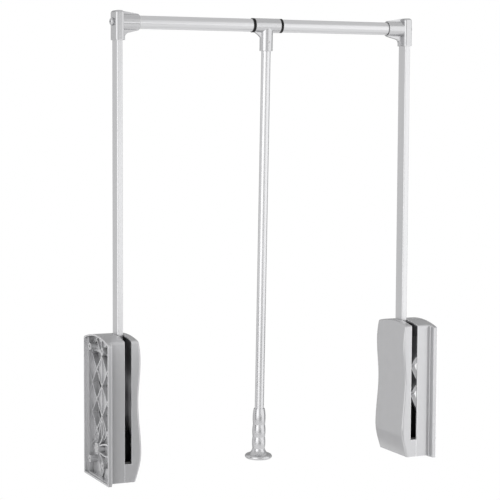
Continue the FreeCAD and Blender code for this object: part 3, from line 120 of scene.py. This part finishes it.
# Least and greatest change that the detail makes: shares of the colour, and additions to the roughness
DRAWN_TINTS = (0.92, 1.08)
CLOUD_TINTS = (0.9, 1.08)
GRAIN_ROUGHNESS = (-0.05, 0.05)
DRAWN_ROUGHNESS = (-0.06, 0.06)
CLOUD_ROUGHNESS = (-0.06, 0.08)

# Lean of the pull rod about X at rest, which its drawn lines follow
ROD_LEAN = math.radians(1.8)

# Pale outer edges, a painted highlight that also stands for wear: the radius in metres of the rounding that
# finds them, the cosine of its turn where they are palest, and the shares of open surroundings between
# which they come in
EDGE_RADIUS = 0.0016
EDGE_COSINE = 0.85
EDGE_SHARES = (0.5, 0.75)
EDGE_SAMPLES = 4

# Painted shade in hollows: how far a point looks round, in metres, and the share of open surroundings below
# which its colour is darkened as painted shade
OPEN_REACH = 0.03
PAINTED_SHADE_SHARE = 0.5
OPEN_SAMPLES = 8

# Colour sockets of a Mix node, which share their names with its other sockets
MIX_COLOURS = (6, 7)
MIX_RESULT = 2

BLACK = (0.0, 0.0, 0.0)
ALUMINIUM_COLOUR = (0.69, 0.69, 0.70)
ALUMINIUM_ROUGHNESS = 0.3
AXIS_X = 0
AXIS_Z = 2


def new_material(name):
    """A node material with its node tree and its shader."""
    material = bpy.data.materials.new(name)
    material.use_nodes = True
    shader = material.node_tree.nodes["Principled BSDF"]
    return material, material.node_tree, shader


def add(tree, kind, **settings):
    """A new shader node with some of its settings."""
    node = tree.nodes.new("ShaderNode" + kind)
    for name, value in settings.items():
        setattr(node, name, value)
    return node


def grey(level):
    """An even grey with its alpha."""
    return (level, level, level, 1.0)


def scaled(colour, share):
    """A colour scaled by a share."""
    return [part * share for part in colour]


def noise(tree, scale, steps, stretch=(1.0, 1.0, 1.0), lean=0.0):
    """Noise from 0 to 1, fixed to a piece that leans about X, with its scale stretched along each axis."""
    place = add(tree, "TexCoord")
    upright = add(tree, "VectorRotate", rotation_type="X_AXIS")
    upright.inputs["Angle"].default_value = -lean
    mapping = add(tree, "Mapping")
    mapping.inputs["Scale"].default_value = scaled(stretch, scale)
    texture = add(tree, "TexNoise")
    texture.inputs["Scale"].default_value = 1.0
    texture.inputs["Detail"].default_value = steps
    tree.links.new(place.outputs["Object"], upright.inputs["Vector"])
    tree.links.new(upright.outputs["Vector"], mapping.inputs["Vector"])
    tree.links.new(mapping.outputs["Vector"], texture.inputs["Vector"])
    return texture.outputs["Fac"]


def remap(tree, value, start=0.0, end=1.0, low=0.0, high=1.0, kind="LINEAR"):
    """A value that goes from low to high while the given one goes from its start to its end."""
    mapped = add(tree, "MapRange", interpolation_type=kind)
    limits = {"From Min": start, "From Max": end, "To Min": low, "To Max": high}
    for name, limit in limits.items():
        mapped.inputs[name].default_value = limit
    tree.links.new(value, mapped.inputs["Value"])
    return mapped.outputs["Result"]


def combine(tree, operation, first, second):
    """The sum or product of two values, kept between 0 and 1."""
    result = add(tree, "Math", operation=operation, use_clamp=True)
    tree.links.new(first, result.inputs[0])
    tree.links.new(second, result.inputs[1])
    return result.outputs["Value"]


def blend_colours(tree, factor, first, second):
    """A colour between two, by a factor."""
    mix = add(tree, "Mix", data_type="RGBA")
    tree.links.new(factor, mix.inputs["Factor"])
    for place, colour in zip(MIX_COLOURS, (first, second)):
        if isinstance(colour, bpy.types.NodeSocket):
            tree.links.new(colour, mix.inputs[place])
        else:
            mix.inputs[place].default_value = (*colour, 1.0)
    return mix.outputs[MIX_RESULT]


def mix_shaders(tree, factor, first, second, output):
    """Sends a mix of two shaders, by a factor, to the surface of an output node."""
    mix = add(tree, "MixShader")
    for source, socket in zip((factor, first, second), mix.inputs):
        tree.links.new(source, socket)
    tree.links.new(mix.outputs["Shader"], tree.nodes[output].inputs["Surface"])


def openness(tree):
    """The share of its surroundings, from 0 to 1, that a point of a piece is open to."""
    around = add(tree, "AmbientOcclusion", samples=OPEN_SAMPLES, only_local=True)
    around.inputs["Distance"].default_value = OPEN_REACH
    return around.outputs["AO"]


def edges(tree, open_share):
    """How close a point is to a sharp outer edge, from 0 to 1."""
    rounded = add(tree, "Bevel", samples=EDGE_SAMPLES)
    rounded.inputs["Radius"].default_value = EDGE_RADIUS
    surface = add(tree, "NewGeometry")
    agree = add(tree, "VectorMath", operation="DOT_PRODUCT")
    tree.links.new(rounded.outputs["Normal"], agree.inputs[0])
    tree.links.new(surface.outputs["Normal"], agree.inputs[1])
    turned = remap(tree, agree.outputs["Value"], start=1.0, end=EDGE_COSINE)
    outer = remap(tree, open_share, start=EDGE_SHARES[0], end=EDGE_SHARES[1])
    return combine(tree, "MULTIPLY", turned, outer)


def set_roughness(tree, shader, pattern, roughness, changes):
    """A roughness that a pattern from 0 to 1 changes."""
    least, greatest = changes
    rough = remap(tree, pattern, low=roughness + least, high=roughness + greatest)
    tree.links.new(rough, shader.inputs["Roughness"])


def set_relief(tree, shader, pattern, depth):
    """A surface relief from a pattern between 0 and 1."""
    relief = add(tree, "Bump")
    relief.inputs["Strength"].default_value = RELIEF_STRENGTH
    relief.inputs["Distance"].default_value = depth
    tree.links.new(pattern, relief.inputs["Height"])
    tree.links.new(relief.outputs["Normal"], shader.inputs["Normal"])


def set_tint(tree, shader, pattern, colour, tints):
    """A colour that a pattern from 0 to 1 makes darker and paler."""
    dark, pale = (scaled(colour, share) for share in tints)
    tree.links.new(blend_colours(tree, pattern, dark, pale), shader.inputs["Base Color"])


def moulded(name, colour, roughness, edge_highlight_and_wear, metal=0.0, contrast=0.05, gloss=0.5, darkest_painted_shade=0.5):
    """Moulded plastic: fine grain, faint mottling, outer edges painted paler as a highlight and as wear,
    and painted shade that darkens hollows.
    """
    material, tree, shader = new_material(name)
    mottle = noise(tree, MOTTLE, MOTTLE_STEPS)
    body = blend_colours(tree, mottle, scaled(colour, 1 - contrast), scaled(colour, 1 + contrast))
    open_share = openness(tree)
    # Outer edges painted paler: a painted highlight, partly also wear
    edge_lit_and_worn = blend_colours(tree, edges(tree, open_share), body, scaled(colour, edge_highlight_and_wear))
    # Hollows painted darker towards black: painted shade
    shade = remap(tree, open_share, end=PAINTED_SHADE_SHARE, low=darkest_painted_shade)
    tree.links.new(blend_colours(tree, shade, BLACK, edge_lit_and_worn), shader.inputs["Base Color"])
    grain = noise(tree, GRAIN, GRAIN_STEPS)
    set_roughness(tree, shader, grain, roughness, GRAIN_ROUGHNESS)
    set_relief(tree, shader, grain, GRAIN_DEPTH)
    shader.inputs["Metallic"].default_value = metal
    shader.inputs["Specular IOR Level"].default_value = gloss
    return material


def drawn_aluminium(name, along, lean=0.0):
    """Drawn and anodised aluminium, with fine lines along one axis of a piece that may lean."""
    material, tree, shader = new_material(name)
    stretch = [1.0] * 3
    stretch[along] = DRAWN_ALONG / DRAWN_ACROSS
    lines = noise(tree, DRAWN_ACROSS, DRAWN_STEPS, stretch, lean)
    set_tint(tree, shader, lines, ALUMINIUM_COLOUR, DRAWN_TINTS)
    set_roughness(tree, shader, lines, ALUMINIUM_ROUGHNESS, DRAWN_ROUGHNESS)
    set_relief(tree, shader, lines, DRAWN_DEPTH)
    shader.inputs["Metallic"].default_value = 1.0
    return material


def plated_steel(name, colour, roughness):
    """Plated steel with a slightly cloudy film."""
    material, tree, shader = new_material(name)
    cloud = noise(tree, CLOUD, CLOUD_STEPS)
    set_tint(tree, shader, cloud, colour, CLOUD_TINTS)
    set_roughness(tree, shader, cloud, roughness, CLOUD_ROUGHNESS)
    shader.inputs["Metallic"].default_value = 1.0
    return material


# Finishes by the material slots of the record
# Each moulded finish paints highlights on its outer edges and shade in its hollows
FINISHES = {
    "housing_plastic": moulded(
        "housing_plastic_look",
        colour=(0.52, 0.52, 0.53),
        roughness=0.12,
        edge_highlight_and_wear=1.8,
        metal=0.5,
        contrast=0.03,
        darkest_painted_shade=0.03,
    ),
    "silver_plastic": moulded(
        "silver_plastic_look",
        colour=(0.59, 0.59, 0.60),
        roughness=0.24,
        edge_highlight_and_wear=1.1,
        metal=1.0,
        contrast=0.03,
    ),
    "black_plastic": moulded(
        "black_plastic_look",
        colour=(0.012, 0.012, 0.012),
        roughness=0.5,
        edge_highlight_and_wear=1.8,
        contrast=0.15,
        gloss=0.1,
    ),
    "natural_plastic": moulded(
        "natural_plastic_look",
        colour=(0.78, 0.77, 0.72),
        roughness=0.4,
        edge_highlight_and_wear=1.05,
    ),
    "rubber": moulded(
        "rubber_look",
        colour=(0.03, 0.03, 0.03),
        roughness=0.8,
        edge_highlight_and_wear=1.5,
        contrast=0.2,
    ),
    "steel": plated_steel("steel_look", colour=(0.62, 0.62, 0.63), roughness=0.28),
    "spring_steel": plated_steel("spring_steel_look", colour=(0.33, 0.33, 0.34), roughness=0.34),
}
UPRIGHT_ALUMINIUM = drawn_aluminium("upright_aluminium_look", AXIS_Z)
RAIL_ALUMINIUM = drawn_aluminium("rail_aluminium_look", AXIS_X)
ROD_ALUMINIUM = drawn_aluminium("rod_aluminium_look", AXIS_Z, ROD_LEAN)


def finish_for(node, slot):
    """The finish of a node. Aluminium is drawn along the piece."""
    if slot != "aluminium":
        return FINISHES[slot]
    if node == "pull_rod":
        return ROD_ALUMINIUM
    return RAIL_ALUMINIUM if "rail" in node else UPRIGHT_ALUMINIUM


def apply_finishes():
    """Gives every node its finish."""
    for part in frame["record"]["subparts"]:
        piece = frame["nodes"][part["node"]]
        piece.data.materials.clear()
        piece.data.materials.append(finish_for(part["node"], part["material_slot"]))


def seen_directly(tree):
    """1 for camera, glossy and transmission rays, and 0 for the rest."""
    path = add(tree, "LightPath")
    total = path.outputs["Is Camera Ray"]
    for name in ("Is Glossy Ray", "Is Transmission Ray"):
        total = combine(tree, "ADD", total, path.outputs[name])
    return total


def make_world():
    """A white background with a dimmer, even light."""
    world = bpy.data.worlds.new("studio")
    world.use_nodes = True
    tree = world.node_tree
    dim = tree.nodes["Background"]
    dim.inputs["Color"].default_value = grey(1.0)
    dim.inputs["Strength"].default_value = AMBIENT
    white = add(tree, "Background")
    white.inputs["Color"].default_value = grey(1.0)
    shaders = (dim.outputs["Background"], white.outputs["Background"])
    mix_shaders(tree, seen_directly(tree), *shaders, "World Output")
    bpy.context.scene.world = world


def floor_material():
    """A pale floor that keeps a soft shadow near the object and fades to white further out."""
    material, tree, shader = new_material("floor_look")
    shader.inputs["Base Color"].default_value = grey(FLOOR_GREY)
    shader.inputs["Roughness"].default_value = FLOOR_ROUGHNESS
    white = add(tree, "Emission")
    place = add(tree, "TexCoord")
    away = add(tree, "VectorMath", operation="LENGTH")
    tree.links.new(place.outputs["Object"], away.inputs[0])
    near, far = FLOOR_FADE
    glow = remap(tree, away.outputs["Value"], near, far, low=FLOOR_GLOW, kind="SMOOTHSTEP")
    share = combine(tree, "MULTIPLY", seen_directly(tree), glow)
    mix_shaders(tree, share, shader.outputs["BSDF"], white.outputs["Emission"], "Material Output")
    return material


def card_material(name, level):
    """An even grey glow."""
    material, tree, shader = new_material(name + "_look")
    tree.nodes.remove(shader)
    glow = add(tree, "Emission")
    glow.inputs["Color"].default_value = grey(level)
    tree.links.new(glow.outputs["Emission"], tree.nodes["Material Output"].inputs["Surface"])
    return material


def studio_sheet(name, places, faces, material):
    """A thin piece of the studio, with places counted from the floor's middle."""
    mesh = bpy.data.meshes.new(name)
    mesh.from_pydata(places, [], faces)
    mesh.materials.append(material)
    sheet = bpy.data.objects.new(name, mesh)
    sheet.location = FLOOR_MIDDLE
    bpy.context.scene.collection.objects.link(sheet)
    return sheet


def level_square(reach, height):
    """The corners and the face of a level square."""
    corners = [(-1, -1), (1, -1), (1, 1), (-1, 1)]
    return [(i * reach, j * reach, height) for i, j in corners], [(0, 1, 2, 3)]


def ring_stretch(start, end, low, high):
    """The corners and the faces of a stretch of a ring, between two angles and two rims."""
    count = round((end - start) / CARD_STEP)
    places = []
    for step in range(count + 1):
        angle = math.radians(start + (end - start) * step / count)
        for away, height in (low, high):
            places.append((away * math.sin(angle), -away * math.cos(angle), height))
    return places, [(2 * i, 2 * i + 2, 2 * i + 3, 2 * i + 1) for i in range(count)]


def make_floor():
    """A wide plain floor below the object."""
    floor = studio_sheet("floor", *level_square(FLOOR_REACH, 0.0), floor_material())


def add_card(name, places, faces, level):
    """A card that only reflections show."""
    card = studio_sheet(name, places, faces, card_material(name, level))
    card.visible_camera = False
    card.visible_diffuse = False
    card.visible_transmission = False
    card.visible_shadow = False


def make_cards():
    """A ring of upright cards, a skirt on the floor and a lid, for the bands on metal."""
    for name, (start, end, low, high, level) in CARDS.items():
        add_card(name, *ring_stretch(start, end, low, high), level)
    add_card("lid", *level_square(*RIM_TOP), LID_LEVEL)


def make_lamps():
    """Soft lamps that face the middle of the object."""
    for name, lamp in LAMPS.items():
        light = bpy.data.lights.new(name, "AREA")
        light.size = lamp["size"]
        light.energy = lamp["power"]
        holder = bpy.data.objects.new(name, light)
        holder.location = lamp["place"]
        holder.rotation_mode = "QUATERNION"
        holder.rotation_quaternion = (MIDDLE - holder.location).to_track_quat("-Z", "Y")
        holder.visible_camera = False
        holder.visible_glossy = False
        bpy.context.scene.collection.objects.link(holder)


def make_camera():
    """The camera at the photograph's place and angle."""
    yaw = math.radians(CAMERA_YAW)
    pitch = math.radians(CAMERA_PITCH)
    ahead = Vector((math.sin(yaw) * math.cos(pitch), math.cos(yaw) * math.cos(pitch), math.sin(pitch)))
    level = Vector((math.cos(yaw), -math.sin(yaw), 0.0))
    roll = Matrix.Rotation(math.radians(CAMERA_ROLL), 3, -ahead)
    right = roll @ level
    up = roll @ level.cross(ahead)
    data = bpy.data.cameras.new("camera")
    data.sensor_width = CAMERA_SENSOR
    data.lens = CAMERA_LENS
    camera = bpy.data.objects.new("camera", data)
    turn = Matrix((right, up, -ahead)).transposed()
    camera.matrix_world = Matrix.Translation(CAMERA_PLACE) @ turn.to_4x4()
    bpy.context.scene.collection.objects.link(camera)
    bpy.context.scene.camera = camera


bpy.context.scene.view_settings.view_transform = "Standard"
apply_finishes()
make_world()
make_floor()
make_cards()
make_lamps()
make_camera()
